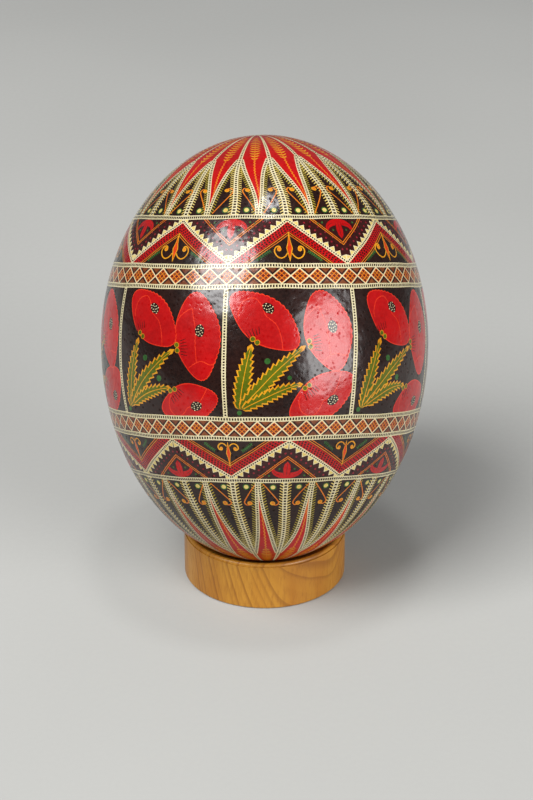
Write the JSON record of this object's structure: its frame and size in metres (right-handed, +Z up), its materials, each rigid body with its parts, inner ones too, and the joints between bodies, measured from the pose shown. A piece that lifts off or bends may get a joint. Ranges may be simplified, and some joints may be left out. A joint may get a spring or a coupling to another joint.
{
  "type": "decorated egg",
  "caption": "Hollow ostrich-size egg with wax-resist folk ornament in bands, stars and poppy panels, leaning back in a turned wooden ring stand.",
  "frame": {"origin": "on the surface the ring stands on, under the middle of the whole object's box; the ring is centred 12.2 mm in front of it and the egg over it", "axes": "+Z up, -Y the front, towards which the egg's pointed pole comes forward while its blunt pole leans back; +X to the viewer's right; the object is alike on both sides of X = 0"},
  "size_m": [0.122, 0.1284, 0.1647],
  "materials": {
    "dyed_shell": "gloss varnish over wax-resist dyes in black, reds, orange, yellow, green and bare shell white, on a finely pitted shell",
    "turned_wood": "satin varnish, honey-coloured, grain upright"
  },
  "bodies": {
    "stand": {"stand_ring": "turned_wood"},
    "egg": {"eggshell": "dyed_shell"}
  },
  "joints": [
    {"name": "egg_lift", "type": "slide", "parent": "stand", "child": "egg", "axis": [0, 0, 1], "range_m": [0, 0.06]}
  ]
}
